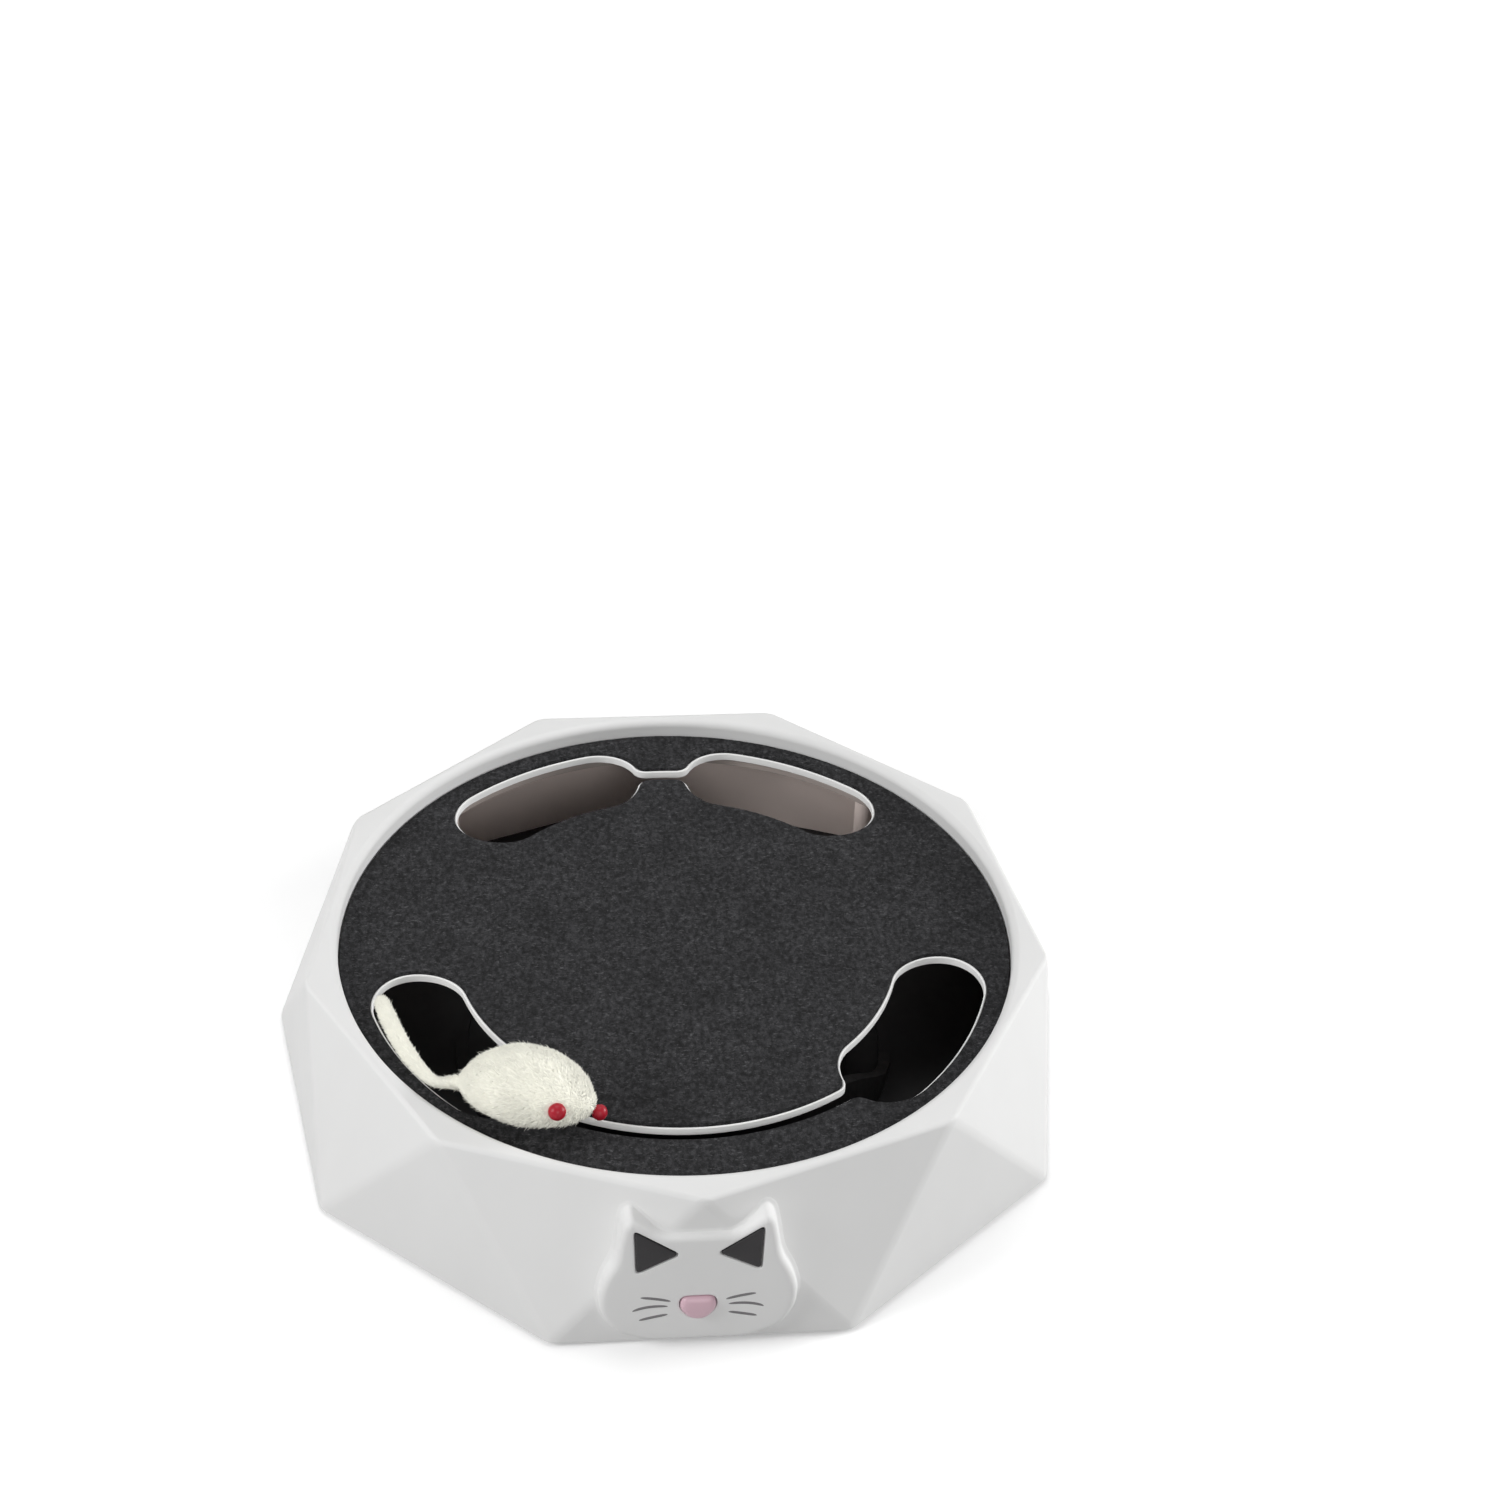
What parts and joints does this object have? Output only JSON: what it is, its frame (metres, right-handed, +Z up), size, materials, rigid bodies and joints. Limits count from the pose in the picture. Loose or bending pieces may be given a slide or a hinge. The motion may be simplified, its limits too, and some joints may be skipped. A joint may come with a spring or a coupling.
{
  "type": "electric mouse cat toy",
  "caption": "Nine-sided faceted drum with a felt deck, where a motor-driven arm runs a plush mouse round a ring track.",
  "frame": {"origin": "middle of the toy's outline, on the surface that its feet stand on", "axes": "+Z up, -Y towards the front with the cat face, +X to the right seen from the front"},
  "size_m": [0.2538, 0.2534, 0.0706],
  "materials": {
    "white_plastic": "white moulded plastic, satin",
    "black_plastic": "black moulded plastic, matt",
    "charcoal_felt": "heathered charcoal needle felt",
    "cream_plush": "short cream plush",
    "red_bead": "red moulded bead",
    "pink_plastic": "pale pink moulded button",
    "grey_rubber": "dark grey soft rubber",
    "pale_nylon": "unfilled nylon, pale",
    "steel": "bright steel",
    "brass": "turned brass",
    "green_board": "green circuit board",
    "cell_sleeve": "plain blue cell sleeve"
  },
  "bodies": {
    "housing": {"upper_shell": "white_plastic", "deck_plate": "white_plastic", "felt_pad": "charcoal_felt", "base_tray": "black_plastic", "drum_cover": "black_plastic", "lift_cam": "black_plastic", "gear_plate": "black_plastic", "drive_motor": "steel", "first_axle": "steel", "second_axle": "steel", "spindle_bush": "brass", "battery_front": "cell_sleeve", "battery_back": "cell_sleeve", "contact_right": "steel", "contact_left": "steel", "main_board": "green_board", "control_chip": "black_plastic", "switch_board": "green_board", "tact_switch": "black_plastic", "switch_lead": "black_plastic", "cat_face_plate": "white_plastic", "left_eye_inlay": "black_plastic", "right_eye_inlay": "black_plastic", "rubber_foot_1": "grey_rubber", "rubber_foot_2": "grey_rubber", "rubber_foot_3": "grey_rubber", "rubber_foot_4": "grey_rubber", "rubber_foot_5": "grey_rubber", "rubber_foot_6": "grey_rubber", "housing_screw_1": "steel", "housing_screw_2": "steel", "housing_screw_3": "steel", "housing_screw_4": "steel", "housing_screw_5": "steel", "housing_screw_6": "steel", "drum_screw_1": "steel", "drum_screw_2": "steel", "drum_screw_3": "steel"},
    "rotor": {"spindle": "steel", "output_gear": "pale_nylon", "rotor_arm": "black_plastic", "arm_screw": "steel", "guide_rod_1": "steel", "guide_rod_2": "steel", "carriage": "black_plastic", "roller_pin": "steel", "neck_spring": "steel", "mouse_body": "cream_plush", "mouse_left_eye": "red_bead", "mouse_right_eye": "red_bead", "mouse_nose": "red_bead", "mouse_tail": "cream_plush"},
    "roller": {"cam_roller": "pale_nylon"},
    "first_gear": {"first_gear": "pale_nylon"},
    "second_gear": {"second_gear": "pale_nylon"},
    "motor_pinion": {"motor_pinion": "brass"},
    "nose_button": {"nose_button": "pink_plastic"},
    "battery_door": {"battery_door": "black_plastic"}
  },
  "joints": [
    {"name": "rotor_spin", "type": "hinge", "parent": "housing", "child": "rotor", "pos_m": [0, -0.00225, 0.03], "axis": [0, 0, 1], "continuous": true, "deforming": ["neck_spring"]},
    {"name": "second_gear_spin", "type": "hinge", "parent": "housing", "child": "second_gear", "pos_m": [0.02078, 0.00975, 0.026], "axis": [0, 0, 1], "continuous": true},
    {"name": "first_gear_spin", "type": "hinge", "parent": "housing", "child": "first_gear", "pos_m": [0.02078, -0.01425, 0.023], "axis": [0, 0, 1], "continuous": true},
    {"name": "motor_spin", "type": "hinge", "parent": "housing", "child": "motor_pinion", "pos_m": [0, -0.02624, 0.022], "axis": [0, 0, 1], "continuous": true},
    {"name": "roller_spin", "type": "hinge", "parent": "rotor", "child": "roller", "pos_m": [-0.03849, -0.05866, 0.03572], "axis": [-0.5635, -0.8261, 0], "continuous": true},
    {"name": "nose_press", "type": "slide", "parent": "housing", "child": "nose_button", "axis": [0, 0.9959, -0.0901], "range_m": [0, 0.0012], "stiffness_N_per_m": 600},
    {"name": "door_open", "type": "hinge", "parent": "housing", "child": "battery_door", "pos_m": [0, 0.03713, 0.0022], "axis": [1, 0, 0], "range_deg": [0, 100]}
  ],
  "couplings": [
    {"joint": "second_gear_spin", "follows": "rotor_spin", "ratio": -4},
    {"joint": "first_gear_spin", "follows": "rotor_spin", "ratio": 16},
    {"joint": "motor_spin", "follows": "rotor_spin", "ratio": -64}
  ]
}
